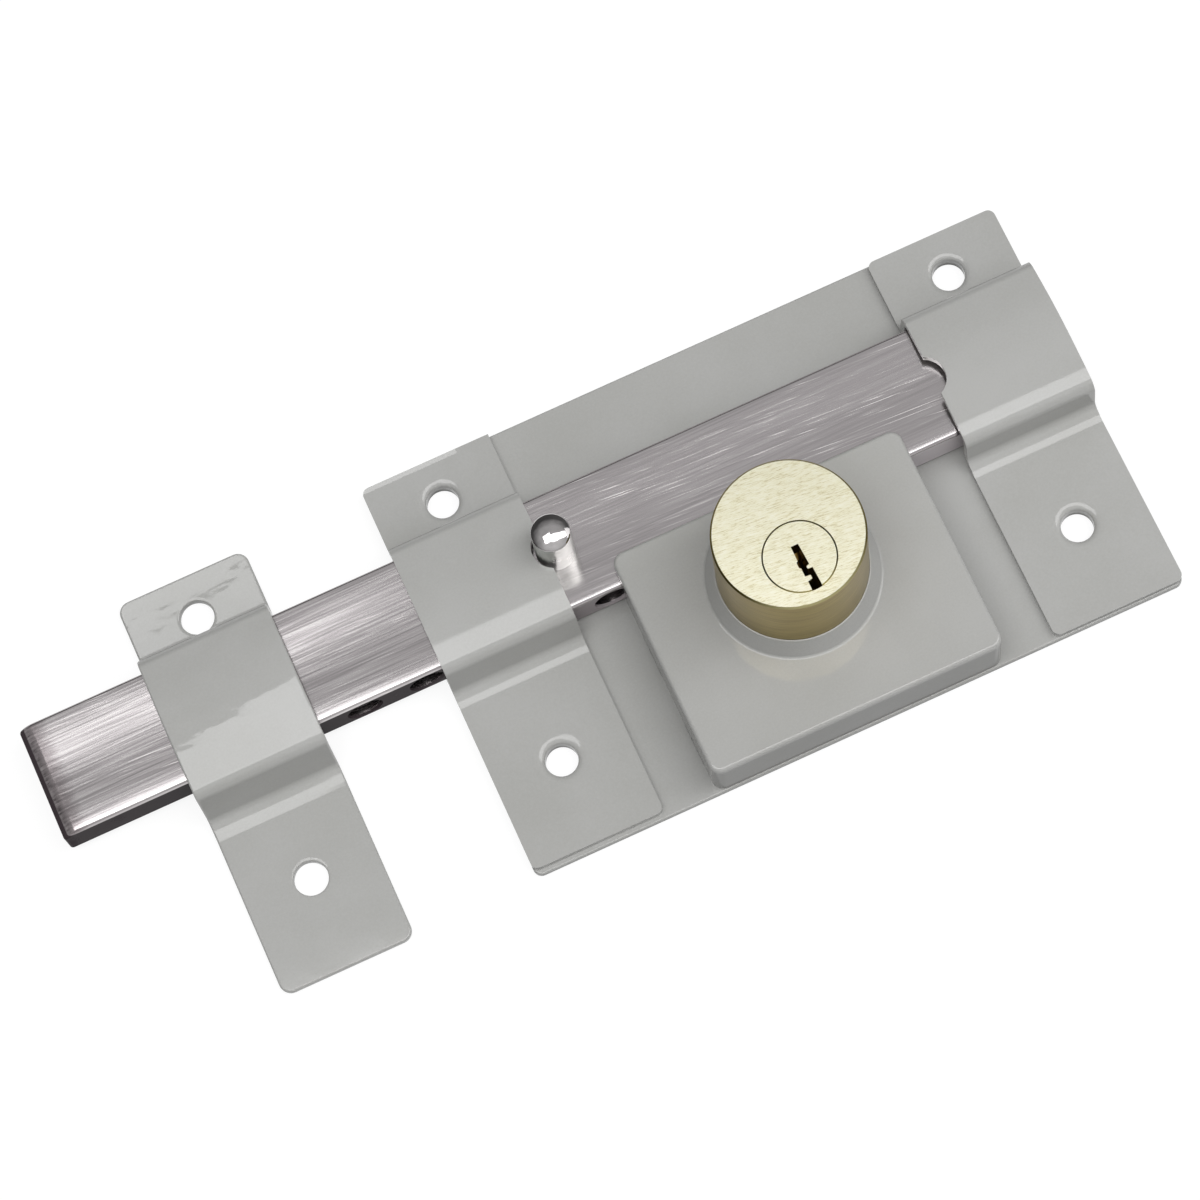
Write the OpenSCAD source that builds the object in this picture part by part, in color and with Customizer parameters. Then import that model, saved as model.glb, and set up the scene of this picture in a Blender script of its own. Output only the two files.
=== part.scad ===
// Surface-mounted bar lock for a roller shutter, with its separate keeper.
// Millimetres. The origin is the middle of the base plate's back face, +Z points away from the
// shutter, the bar slides along X and the keeper stands on the -X side.

/* [Base plate] */
// Length of the base plate, along the bar
plate_l = 127; // [122:1:140]
// Width of the base plate, across the bar
plate_w = 79.4; // [78:0.2:86]
// Thickness of the base plate
plate_t = 1.5; // [1.2:0.1:2.2]
// Corner radius of the base plate
plate_r = 1.6; // [0.8:0.2:2.6]

/* [Bar] */
// Length of the bar
bar_l = 197; // [188:1:200]
// Width of the bar
bar_w = 22.2; // [21:0.1:23]
// Thickness of the bar
bar_h = 8; // [7.8:0.1:9.4]
// Distance from the plate's far edge to the bar
bar_inset = 17.1; // [16.8:0.1:18]
// Reach of the thrown bar past the end of the plate
bar_out = 73.5; // [66:0.5:80]
// Gap between the bar and the plate
bar_gap = 0.3; // [0.1:0.1:0.5]
// Chamfer along the bar's long edges
bar_edge = 0.6; // [0.3:0.1:1]
// Length of the bevel across the bar's leading end
bar_nose_l = 1.7; // [1:0.1:3]
// Depth of the bevel across the bar's leading end
bar_nose_h = 0.9; // [0.5:0.1:1.5]
// Number of locking holes in the bar's near side
hole_count = 7; // [6:1:8]
// Diameter of a locking hole
hole_d = 6.8; // [6.6:0.1:7.2]
// Depth of a locking hole
hole_depth = 7; // [6:0.1:7.5]

/* [Guide straps] */
// Width of a strap, and of the keeper
strap_w = 25.4; // [23:0.1:26]
// Thickness of a strap, and of the keeper
strap_t = 1.5; // [1.2:0.1:2]
// Inside radius of the bends at a strap's feet
foot_bend_r = 2; // [1:0.1:2.4]
// Inside radius of the bends at a bridge's shoulders
shoulder_bend_r = 1.2; // [0.3:0.1:1.4]
// Outward lean of the far wall of a bridge
far_lean = 0.8; // [0.4:0.1:1.2]
// Outward lean of the near wall of a strap's bridge
near_lean = 1.8; // [1:0.1:2.2]
// Gap between the bar and the wall of the bridge on its far side
far_gap = 0.4; // [0.3:0.1:0.6]
// Gap between the bar and the wall of the bridge on its near side
near_gap = 1.2; // [0.8:0.1:1.8]
// Gap between the bar and the bridge at its shoulders
over_gap = 0.8; // [0.6:0.1:1.4]
// Rise of the crown above the shoulders, before it is rounded
crown = 1.9; // [1:0.1:2.4]
// Shift of the crown from the bridge's middle, towards the far side
crown_shift = 1.5; // [0:0.1:2.5]
// Length of the crown's curve, to each side
crown_reach = 8.5; // [5:0.1:9.5]
// Corner radius of a strap's feet
strap_r = 1.8; // [1:0.1:3]
// Step from the plate's near edge to the end of the left strap
left_step = 1; // [0.2:0.1:1.6]
// Step from the plate's near edge to the end of the right strap
right_step = 0.4; // [0.2:0.1:1.6]
// Diameter of the screw holes in the lock
screw_d = 6; // [5:0.1:6.4]
// Diameter of the pressed rim of a screw hole
dish_d = 9.6; // [8:0.1:10.4]
// Depth of the pressed rim
dish_h = 0.8; // [0.4:0.1:1]
// Distance from a strap's far end to its first screw hole
far_hole = 8.3; // [7.5:0.1:9]
// Distance between the two screw holes of a strap
hole_span = 53.6; // [52:0.1:55]

/* [Keeper] */
// Gap between the plate and the keeper
keeper_gap = 23.8; // [15:0.1:30]
// Length of the keeper
keeper_l = 79.5; // [77:0.1:84]
// Shift of the keeper towards the near side
keeper_shift = 0.5; // [0:0.1:0.8]
// Gap between the bar and the keeper's far wall
keeper_far_gap = 0.5; // [0.3:0.1:0.8]
// Gap between the bar and the keeper's near wall
keeper_near_gap = 2.4; // [1.6:0.1:3]
// Outward lean of the keeper's near wall
keeper_near_lean = 3.2; // [2:0.1:3.6]
// Gap between the bar and the keeper at its shoulders
keeper_over_gap = 1.1; // [0.8:0.1:1.8]
// Corner radius of the keeper
keeper_r = 2.8; // [1.5:0.1:4]
// Diameter of the keeper's screw holes
keeper_screw_d = 6.3; // [5:0.1:6.6]

/* [Knob pin] */
// Diameter of the knob pin
knob_d = 7.2; // [6.6:0.1:7.6]
// Height of the knob pin above the bar
knob_h = 14.4; // [12:0.1:18]
// Diameter of the shank in the bar
knob_shank_d = 6; // [5:0.1:6.2]
// Reach of the pin into a strap's notch at the end of its travel
knob_bite = 1.8; // [1.2:0.1:2.6]
// Gap between the pin and the notch round it
notch_gap = 0.6; // [0.3:0.1:0.8]

/* [Lock box] */
// Length of the box, along the bar
box_l = 56.4; // [52:0.2:62]
// Step from the plate's near edge to the box
box_step = 0.4; // [0.2:0.1:1.5]
// Overlap of the box over the bar
box_lap = 5; // [4:0.1:6]
// Gap between the bar and the top of the box
box_over_gap = 1.7; // [1.4:0.1:2.4]
// Thickness of the box
box_t = 1.5; // [1.2:0.1:1.8]
// Corner radius of the box, seen from above
box_r = 2.2; // [1.9:0.1:3]
// Radius of the box's top edge
box_edge = 1.1; // [0.8:0.1:1.7]
// Gap between the bar and the cut in the box's side walls
box_side_gap = 0.5; // [0.3:0.1:0.8]
// Width of a tab that holds the box in the plate
tab_w = 8; // [5:0.1:10]
// Distance from the box's near side to the middle of the first tab
tab_inset = 9.8; // [8:0.1:11]
// Distance between the two tabs of a side wall
tab_pitch = 18; // [14:0.1:19]

/* [Cylinder] */
// Diameter of the cylinder
cyl_d = 27.2; // [26.8:0.1:28]
// Height of the cylinder above the box
cyl_rise = 22.4; // [21:0.1:25]
// Distance from the bar's near side to the cylinder's axis
cyl_to_bar = 11.8; // [11.6:0.1:12.4]
// Chamfer round the cylinder's face
cyl_edge = 0.35; // [0.2:0.05:0.6]
// Step down to the spigot that stands in the box
spigot_step = 1; // [0.6:0.1:1.2]
// Diameter of the plug
plug_d = 12.9; // [12.5:0.1:13.2]
// Distance from the cylinder's axis to the plug's axis
plug_offset = 4.6; // [4.4:0.1:4.9]
// Radial running clearance of turned parts
run_gap = 0.05; // [0.03:0.01:0.08]
// Chamfer round the plug's face and round the mouth of its bore
plug_edge = 0.12; // [0.06:0.02:0.2]
// Width of the keyway
keyway_w = 1.4; // [1.2:0.1:1.7]
// Height of the keyway above the plug's axis
keyway_top = 2.2; // [1.8:0.1:2.6]
// Number of pin stacks
pin_count = 5; // [4:1:5]
// Distance between pin stacks
pin_pitch = 3.6; // [3.4:0.1:3.8]
// Distance from the cylinder's face to the first pin stack
first_pin = 6; // [5:0.1:6.6]
// Diameter of the pins
pin_d = 2.8; // [2.4:0.1:3]
// Length of a driver pin
driver_l = 4.5; // [3.5:0.1:5]
// Wire of the pin springs
spring_wire = 0.4; // [0.3:0.05:0.5]
// Length of the cap that closes a pin chamber
cap_l = 2; // [1.5:0.1:2.5]
// Thickness of the clip that holds the plug
clip_t = 0.85; // [0.6:0.05:0.9]
// Depth of the clip's groove in the plug
clip_bite = 0.85; // [0.6:0.05:1]
// Rim of the clip outside the plug
clip_rim = 1.3; // [1:0.1:1.5]
// Width of the clip's mouth
clip_mouth = 5; // [4:0.1:6]

/* [Guard ring] */
// Height of the ring round the cylinder
ring_h = 4; // [2.5:0.1:6]
// Diameter at the ring's foot
ring_foot_d = 33; // [31.6:0.1:33.2]
// Diameter at the ring's top
ring_top_d = 29.8; // [29.4:0.1:30.6]
// Gap between the ring and the cylinder
ring_gap = 0.15; // [0.1:0.05:0.3]
// Radius of the hollow curve at the ring's foot
ring_fillet = 1; // [0.6:0.1:1.3]
// Radius of the ring's top edge
ring_edge = 0.7; // [0.3:0.1:0.8]

/* [Locking mechanism] */
// Distance from the cylinder's axis to the plunger's axis, along the bar
plunger_x = 6.3; // [6.1:0.1:6.8]
// Diameter of the locking plunger
plunger_d = 6; // [5.6:0.1:6.2]
// Gap between the withdrawn plunger and the bar
plunger_gap = 0.8; // [0.5:0.1:1.2]
// Length of the plunger's round nose
plunger_nose = 14.1; // [13.9:0.1:15]
// Crank radius of the cam
crank_r = 4.2; // [4:0.1:4.3]
// Diameter of the cam's drive pin
crank_pin_d = 3; // [2.6:0.1:3.2]
// Gap between the drive pin and its slot
slot_gap = 0.3; // [0.2:0.05:0.35]
// Thickness of the cam
cam_t = 2.05; // [1.8:0.05:2.2]
// Thickness of the back plate that clamps the cylinder
back_t = 2; // [1.8:0.1:2]
// Half length of the back plate
back_half = 17; // [16:0.1:20]
// Distance from the plug's hole to the back plate's near edge
back_margin = 6.5; // [5:0.1:7]
// Gap between the back plate and the bar
back_bar_gap = 1.4; // [0.8:0.1:2]
// Corner radius of the back plate
back_r = 2; // [1:0.1:3]
// Diameter of the screws that hold the back plate
back_screw_d = 3.2; // [2.6:0.1:3.4]
// Diameter of the heads of these screws
back_head_d = 6.2; // [5.2:0.1:6.4]
// Length of these screws
back_screw_l = 9; // [6:0.5:11]
// Distance between these screws
back_screw_span = 20.4; // [19.6:0.1:21]
// Distance from the cylinder's axis to the line of these screws
back_screw_y = 3.4; // [3:0.1:4]
// Diameter of the cam's hub
hub_d = 7.2; // [6.4:0.1:7.6]
// Diameter of the cam's outer end
cam_end_d = 4.8; // [4.4:0.1:5]
// Width of the cam's arm
cam_arm_w = 4.2; // [3.4:0.1:4.3]
// Diameter of the boss that turns the cam
boss_d = 5.2; // [4.8:0.1:5.6]
// Width across the boss's flats
boss_flats = 4; // [3.4:0.1:4.4]
// Height of the boss in the cam
boss_l = 0.8; // [0.5:0.1:0.9]
// Diameter of the cam's screw
cam_screw_d = 2.4; // [2:0.1:2.8]
// Diameter of the head of the cam's screw
cam_head_d = 4.6; // [3.8:0.1:4.8]
// Length of the cam's screw
cam_screw_l = 4.35; // [3.6:0.05:4.6]
// Chamfer round the plunger's tip
plunger_edge = 0.8; // [0.4:0.1:1.2]
// Reach of the plunger's block past its axis, away from the plug
block_left = 4.2; // [3.6:0.1:4.6]
// Reach of the plunger's block past its axis, towards the plug
block_right = 4.7; // [4:0.1:5]
// Wall of the block behind the slot
block_wall = 2.1; // [1.6:0.1:2.4]
// Length of the plunger guide, along the bar
guide_l = 18; // [17.6:0.1:19]
// Width of the plunger guide, along the plunger
guide_w = 7; // [5:0.1:7.2]
// Distance from the plunger's tip back to the front of its guide
guide_set = 0.6; // [0.4:0.1:1]
// Distance from the end of the guide to its rivet
rivet_inset = 3; // [2.8:0.1:3.1]
// Diameter of the guide's rivets
rivet_d = 3; // [2.4:0.1:3.2]
// Diameter of the rivets' heads
rivet_head_d = 5.4; // [4.4:0.1:5.8]

/* [Hidden] */
$fn = 64;

paint = [0.68, 0.69, 0.67];
steel = [0.74, 0.72, 0.72];
dark_steel = [0.45, 0.45, 0.47];
brass = [0.94, 0.92, 0.8];
polished = [0.85, 0.85, 0.86];
eps = 0.01;
press_gap = 0.02;
seat_gap = 0.05;
pass_gap = 0.3;
arc_steps = 8;

// Bar and its places
bar_far = plate_w / 2 - bar_inset;
bar_near = bar_far - bar_w;
bar_y = bar_far - bar_w / 2;
bar_z = plate_t + bar_gap;
bar_top = bar_z + bar_h;
bar_left = -plate_l / 2 - bar_out;

// Travel of the bar: the knob pin runs from the notch of one strap to that of the other
strap_inner = plate_l / 2 - strap_w;
knob_x = -strap_inner - knob_bite + knob_d / 2;
travel = -2 * knob_x;
pitch = travel / (hole_count - 1);

// Heights
box_under = bar_top + box_over_gap;
box_top = box_under + box_t;
cyl_top = box_top + cyl_rise;
back_bottom = box_under - back_t;

// Cylinder and plug places
cyl_y = bar_near - cyl_to_bar;
plug_y = cyl_y - plug_offset;
plug_r = plug_d / 2;
bore_r = plug_r + run_gap;
spigot_r = cyl_d / 2 - spigot_step;
ring_inner = cyl_d / 2 + ring_gap;
plug_bottom = back_bottom + 2 * seat_gap;
keyway_floor = 2.9;

// Pins are drawn at the shear line, as the right key would hold them
pin_r = pin_d / 2;
chamber_r = pin_r + 2 * run_gap;
key_pin_starts = [1.1, 0.4, 1.6, 0.7, 1.3];
key_pin_cone = 1.1;
key_pin_end = plug_r - pass_gap;
driver_start = plug_r + pass_gap;
driver_end = driver_start + driver_l;
chamber_end = cyl_d / 2 + plug_offset;
spring_gap = 0.1;

// Clip and its groove, against the back of the cylinder
clip_bottom = box_under - clip_t - 2 * seat_gap;
groove_h = clip_t + 3 * seat_gap;

// Cam and plunger places
cam_top = back_bottom + seat_gap;
cam_bottom = cam_top - cam_t;
throw_angle = 90;
start_angle = 180 + throw_angle / 2;
throw = 2 * crank_r * sin(throw_angle / 2);
pin_rest = plug_y + crank_r * sin(start_angle);
plunger_z = bar_z + bar_h / 2;
plunger_tip = bar_near - plunger_gap;
block_front = plunger_tip - plunger_nose;
slot_half = crank_pin_d / 2 + slot_gap;
block_back = pin_rest - slot_half - block_wall;
block_top = cam_bottom - pass_gap;
guide_front = plunger_tip - guide_set;
guide_top = back_bottom - pass_gap;
head_h = 1.5;
rivet_head_h = 1.2;
cam_head_h = 1;
drive_pin_bottom = bar_z + 0.8;

// Lowest wall of the box, and its far edge
box_near = -plate_w / 2 + box_step;
box_far = bar_near + box_lap;
box_w = box_far - box_near;
box_y = (box_far + box_near) / 2;
tab_places = [box_near + tab_inset, box_near + tab_inset + tab_pitch];
tab_gap = 0.1;
box_inner_edge = 0.3;

// Outline of a strip of thickness t that follows a path of straight runs, with a bend of the
// inside radius radii[k] at each corner: its left side, then its right side backwards.
function unit(v) = v / norm(v);
function left_of(v) = [-v[1], v[0]];
function turned(v, a) = [v[0] * cos(a) - v[1] * sin(a), v[0] * sin(a) + v[1] * cos(a)];
function turn_angle(a, b) = atan2(a[0] * b[1] - a[1] * b[0], a * b);
function bend_points(p, q, s, r, t, side) =
    let (
        into = unit(q - p),
        out = unit(s - q),
        angle = turn_angle(into, out),
        sense = sign(angle),
        mid_r = r + t / 2,
        centre = q - into * mid_r * tan(abs(angle) / 2) + left_of(into) * sense * mid_r,
        reach = mid_r - sense * side * t / 2
    )
    [for (i = [0 : arc_steps])
        centre - turned(left_of(into), angle * i / arc_steps) * sense * reach];
function strip_side(path, radii, t, side) =
    let (last = len(path) - 1)
    concat(
        [path[0] + left_of(unit(path[1] - path[0])) * side * t / 2],
        [for (k = [1 : last - 1])
            each bend_points(path[k - 1], path[k], path[k + 1], radii[k - 1], t, side)],
        [path[last] + left_of(unit(path[last] - path[last - 1])) * side * t / 2]);
function strip(path, radii, t) =
    let (back = strip_side(path, radii, t, -1))
    concat(strip_side(path, radii, t, 1), [for (i = [len(back) - 1 : -1 : 0]) back[i]]);

// Draws along X what its child shows in the plane of Y and Z
module along_x(length) {
    rotate([90, 0, 90])
        linear_extrude(height = length, center = true)
            children();
}

module rounded_rectangle(l, w, r) {
    square([l - 2 * r, w], center = true);
    square([l, w - 2 * r], center = true);
    for (x = [-1, 1])
        for (y = [-1, 1])
            translate([x * (l / 2 - r), y * (w / 2 - r)])
                circle(r);
}

// Bar-wise hole: a cylinder along Y from y0 to y1
module along_y(r, y0, y1) {
    translate([0, y0, 0])
        rotate([-90, 0, 0])
            cylinder(r = r, h = y1 - y0);
}

// Centre line of a strap from its far end, over the bar, to its near end
function strap_path(far, near, foot_z, far_room, near_room, over_room, lean) =
    let (
        shoulder_z = bar_top + over_room + strap_t / 2,
        far_wall = bar_far + far_room + strap_t / 2,
        near_wall = bar_near - near_room - strap_t / 2
    )
    [[far, foot_z], [far_wall + far_lean, foot_z], [far_wall, shoulder_z],
        [(far_wall + near_wall) / 2 + crown_shift, shoulder_z + crown],
        [near_wall, shoulder_z], [near_wall - lean, foot_z], [near, foot_z]];

// Inside radii of the bends on that line; the crown's is large enough for its reach
function strap_radii(path) =
    let (angle = abs(turn_angle(unit(path[3] - path[2]), unit(path[4] - path[3]))))
    [foot_bend_r, shoulder_bend_r, crown_reach / tan(angle / 2) - strap_t / 2,
        shoulder_bend_r, foot_bend_r];

// A strap in one piece: two feet and a bridge over the bar
module strap_form(x, far, near, base_z, far_room, near_room, over_room, lean, corner) {
    path = strap_path(far, near, base_z + strap_t / 2, far_room, near_room, over_room, lean);
    intersection() {
        translate([x, 0, 0])
            along_x(strap_w)
                polygon(strip(path, strap_radii(path), strap_t));
        translate([x, (far + near) / 2, 0])
            linear_extrude(height = bar_top * 2)
                rounded_rectangle(strap_w, far - near, corner);
    }
}

module base_plate() {
    color(paint)
        difference() {
            linear_extrude(height = plate_t)
                rounded_rectangle(plate_l, plate_w, plate_r);
            for (x = [-1, 1])
                for (y = [plate_w / 2 - far_hole, plate_w / 2 - far_hole - hole_span])
                    translate([x * (plate_l - strap_w) / 2, y, -eps])
                        cylinder(d = screw_d, h = plate_t + 2 * eps);
            box_tabs(tab_gap);
            rivet_forms(press_gap);
        }
}

// Screw hole with its rim pressed in: the rim leaves the face at z = 0 in a curve
module dished_hole() {
    hole = screw_d / 2;
    reach = dish_d / 2 - hole;
    rotate_extrude()
        polygon(concat(
            [[0, -strap_t - eps], [hole, -strap_t - eps]],
            [for (i = [0 : arc_steps])
                let (a = 90 * i / arc_steps)
                [hole + reach * (1 - cos(a)), dish_h * (sin(a) - 1)]],
            [[hole + reach, 1], [0, 1]]));
}

// The strap screwed down at one end of the plate; side is -1 for left and 1 for right
module guide_strap(side, step) {
    x = side * (plate_l - strap_w) / 2;
    far = plate_w / 2;
    color(paint)
        difference() {
            strap_form(x, far, -plate_w / 2 + step, plate_t,
                far_gap, near_gap, over_gap, near_lean, strap_r);
            for (y = [far - far_hole, far - far_hole - hole_span])
                translate([x, y, plate_t + strap_t])
                    dished_hole();
            translate([side * -knob_x, bar_y, bar_top])
                cylinder(d = knob_d + 2 * notch_gap, h = over_gap + crown + 2 * strap_t);
        }
}

module left_strap() {
    guide_strap(-1, left_step);
}

module right_strap() {
    guide_strap(1, right_step);
}

module keeper() {
    x = -plate_l / 2 - keeper_gap - strap_w / 2;
    far = plate_w / 2 - keeper_shift;
    color(paint)
        difference() {
            strap_form(x, far, far - keeper_l, 0,
                keeper_far_gap, keeper_near_gap, keeper_over_gap, keeper_near_lean, keeper_r);
            for (y = [far - far_hole, far - far_hole - hole_span])
                translate([x, y, -eps])
                    cylinder(d = keeper_screw_d, h = strap_t + 2 * eps);
        }
}

// A pressed block with a rounded top edge, as wide as the box less inset all round
module box_block(inset, bottom, top, edge) {
    l = box_l - 2 * inset;
    w = box_w - 2 * inset;
    r = max(box_r - inset, edge + 0.1);
    hull()
        for (x = [-1, 1])
            for (y = [-1, 1])
                translate([x * (l / 2 - r), box_y + y * (w / 2 - r), bottom]) {
                    cylinder(r = r, h = top - edge - bottom, $fn = 32);
                    translate([0, 0, top - edge - bottom])
                        rotate_extrude($fn = 32)
                            translate([r - edge, 0])
                                intersection() {
                                    circle(edge, $fn = 32);
                                    square(edge);
                                }
                }
}

// Tabs on the box's side walls, which pass through slots in the plate
module box_tabs(gap) {
    for (x = [-1, 1])
        for (y = tab_places)
            translate([x * (box_l - box_t) / 2, y, plate_t / 2])
                cube([box_t + 2 * gap, tab_w + 2 * gap, plate_t + (gap > 0 ? 2 * eps : 0)],
                    center = true);
}

module lock_box() {
    color(paint) {
        difference() {
            box_block(0, plate_t, box_top, box_edge);
            box_block(box_t, 0, box_under, box_inner_edge);
            translate([-box_l, bar_near - box_side_gap, 0])
                cube([2 * box_l, bar_w, bar_top + box_side_gap]);
            translate([0, cyl_y, box_under - eps])
                cylinder(r = spigot_r + run_gap, h = box_t + 2 * eps);
        }
        box_tabs(0);
    }
}

// Ring that stands round the cylinder, with a hollow curve at its foot
module guard_ring() {
    foot = ring_foot_d / 2;
    shoulder = ring_top_d / 2 - ring_edge;
    color(paint)
        translate([0, cyl_y, box_top])
            rotate_extrude()
                polygon(concat(
                    [[ring_inner, 0], [foot, 0]],
                    [for (i = [1 : arc_steps])
                        let (a = 270 - 90 * i / arc_steps)
                        [foot + ring_fillet * cos(a), ring_fillet + ring_fillet * sin(a)]],
                    [for (i = [0 : arc_steps])
                        let (a = 90 * i / arc_steps)
                        [shoulder + ring_edge * cos(a), ring_h - ring_edge + ring_edge * sin(a)]],
                    [[ring_inner, ring_h]]));
}

// Places its child on each pin stack's axis, at the plug's axis
module at_pin_stacks() {
    for (k = [0 : pin_count - 1])
        translate([0, plug_y, cyl_top - first_pin - k * pin_pitch])
            children();
}

// Countersunk screw or rivet with its head down, its head flush with z = 0
module countersunk(d, head_d, head_depth, length, gap) {
    translate([0, 0, gap > 0 ? -eps : 0]) {
        cylinder(d1 = head_d + 2 * gap, d2 = d + 2 * gap, h = head_depth);
        cylinder(d = d + 2 * gap, h = length + (gap > 0 ? 2 * eps : 0));
    }
}

// Slot of a screw head that lies at z = 0
module driver_slot(length, width, depth) {
    cube([length, width, 2 * depth], center = true);
}

module at_back_screws() {
    for (x = [-1, 1])
        translate([x * back_screw_span / 2, cyl_y + back_screw_y, back_bottom])
            children();
}

module back_screw_form(gap) {
    countersunk(back_screw_d, back_head_d, head_h, back_screw_l, gap);
}

module cylinder_body() {
    r = cyl_d / 2;
    color(brass)
        difference() {
            union() {
                translate([0, cyl_y, box_top])
                    rotate_extrude()
                        polygon([[0, 0], [r, 0], [r, cyl_rise - cyl_edge],
                            [r - cyl_edge, cyl_rise], [0, cyl_rise]]);
                translate([0, cyl_y, box_under])
                    cylinder(r = spigot_r, h = box_t + eps);
            }
            translate([0, plug_y, box_under - eps])
                cylinder(r = bore_r, h = cyl_top - box_under + 2 * eps);
            translate([0, plug_y, cyl_top - plug_edge])
                cylinder(r1 = bore_r, r2 = bore_r + plug_edge + eps, h = plug_edge + eps);
            at_pin_stacks()
                along_y(chamber_r, 0, chamber_end + cyl_d / 2);
            at_back_screws()
                cylinder(d = back_screw_d + 2 * seat_gap, h = back_screw_l + head_h);
        }
}

// Section of the keyway with its wards; y is measured from the plug's axis
module keyway_shape() {
    half = keyway_w / 2;
    ward = 0.3;
    outside = -plug_r - 1;
    polygon([[-half, keyway_top], [half, keyway_top], [half + 0.2, -1.9], [ward, -2.1],
        [ward, -2.6], [half + 0.5, -2.7], [half + 0.7, outside], [-half + 0.1, outside],
        [-half + 0.1, -4.7], [ward, -4.5], [ward, -3.8], [-half, -3.7], [-half, -2.1],
        [-half - ward, -1.9], [-half - ward, -0.8], [-half, -0.7]]);
}

// Foot of the plug that keys into the cam: a round boss with two flats
module plug_boss(gap) {
    translate([0, plug_y, cam_top - boss_l])
        intersection() {
            cylinder(r = boss_d / 2 + gap, h = boss_l + 1);
            translate([-boss_d, -boss_flats / 2 - gap, 0])
                cube([2 * boss_d, boss_flats + 2 * gap, boss_l + 1]);
        }
}

module cam_screw_form(gap) {
    translate([0, plug_y, cam_bottom])
        countersunk(cam_screw_d, cam_head_d, cam_head_h, cam_screw_l, gap);
}

module plug() {
    length = cyl_top - plug_bottom;
    color(brass)
        difference() {
            union() {
                translate([0, plug_y, plug_bottom])
                    rotate_extrude()
                        polygon([[0, 0], [plug_r, 0], [plug_r, length - plug_edge],
                            [plug_r - plug_edge, length], [0, length]]);
                plug_boss(0);
            }
            translate([0, plug_y, plug_bottom + keyway_floor])
                linear_extrude(height = cyl_top)
                    keyway_shape();
            at_pin_stacks()
                along_y(chamber_r, key_pin_starts[1] - eps, plug_r + 1);
            translate([0, plug_y, clip_bottom - seat_gap])
                difference() {
                    cylinder(r = plug_r + 1, h = groove_h);
                    translate([0, 0, -eps])
                        cylinder(r = plug_r - clip_bite, h = groove_h + 2 * eps);
                }
            cam_screw_form(seat_gap);
        }
}

// Coned pins that ride on the key
module key_pins() {
    color("goldenrod")
        for (k = [0 : pin_count - 1])
            translate([0, plug_y, cyl_top - first_pin - k * pin_pitch])
                rotate([-90, 0, 0])
                    rotate_extrude($fn = 32)
                        polygon([[0, key_pin_starts[k]], [pin_r / 2, key_pin_starts[k]],
                            [pin_r, key_pin_starts[k] + key_pin_cone], [pin_r, key_pin_end],
                            [0, key_pin_end]]);
}

module driver_pins() {
    color("goldenrod")
        at_pin_stacks()
            along_y(pin_r, driver_start, driver_end);
}

// Each spring fills its chamber between the driver pin and the cap
module pin_springs() {
    color(steel)
        at_pin_stacks()
            difference() {
                along_y(pin_r - spring_gap, driver_end + spring_gap, chamber_end - cap_l - spring_gap);
                along_y(pin_r - spring_gap - spring_wire, driver_end, chamber_end - cap_l);
            }
}

// Caps that close the chambers, cut flush with the cylinder's wall
module chamber_caps() {
    color(brass)
        intersection() {
            at_pin_stacks()
                along_y(chamber_r - press_gap, chamber_end - cap_l, chamber_end + 1);
            translate([0, cyl_y, box_top])
                cylinder(d = cyl_d, h = cyl_rise);
        }
}

// Open spring clip in the plug's groove
module plug_clip() {
    color(dark_steel)
        translate([0, plug_y, clip_bottom])
            difference() {
                cylinder(r = plug_r + clip_rim, h = clip_t);
                translate([0, 0, -eps])
                    cylinder(r = plug_r - clip_bite + seat_gap, h = clip_t + 2 * eps);
                translate([-clip_mouth / 2, 0, -eps])
                    cube([clip_mouth, plug_r + clip_rim + 1, clip_t + 2 * eps]);
            }
}

// Plate that clamps the cylinder against the top of the box
module back_plate() {
    near = plug_y - plug_r - back_margin;
    far = bar_near - back_bar_gap;
    color(steel)
        difference() {
            translate([0, (near + far) / 2, back_bottom])
                linear_extrude(height = back_t)
                    rounded_rectangle(2 * back_half, far - near, back_r);
            translate([0, plug_y, back_bottom - eps])
                cylinder(r = plug_r + clip_rim + pass_gap, h = back_t + 2 * eps);
            at_back_screws()
                back_screw_form(seat_gap);
        }
}

module back_plate_screws() {
    color(steel)
        at_back_screws()
            difference() {
                back_screw_form(0);
                driver_slot(back_head_d * 0.65, 0.8, 0.6);
            }
}

// Places its child on the axis of the drive pin, with the plug at rest
module at_crank() {
    translate([crank_r * cos(start_angle), pin_rest, 0])
        children();
}

// Cam on the end of the plug: a hub and an arm that carries the drive pin
module cam() {
    color(steel)
        difference() {
            translate([0, 0, cam_bottom])
                linear_extrude(height = cam_t) {
                    translate([0, plug_y])
                        circle(d = hub_d);
                    at_crank()
                        circle(d = cam_end_d);
                    translate([0, plug_y])
                        rotate(start_angle)
                            translate([0, -cam_arm_w / 2])
                                square([crank_r, cam_arm_w]);
                }
            plug_boss(seat_gap);
            cam_screw_form(seat_gap);
            at_crank()
                translate([0, 0, cam_bottom - eps])
                    cylinder(d = crank_pin_d + 2 * press_gap, h = cam_t + 2 * eps);
        }
}

module cam_screw() {
    color(steel)
        difference() {
            cam_screw_form(0);
            translate([0, plug_y, cam_bottom])
                driver_slot(cam_head_d * 0.65, 0.7, 0.45);
        }
}

module drive_pin() {
    color(steel)
        at_crank()
            translate([0, 0, drive_pin_bottom])
                cylinder(d = crank_pin_d, h = cam_top - drive_pin_bottom);
}

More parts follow.
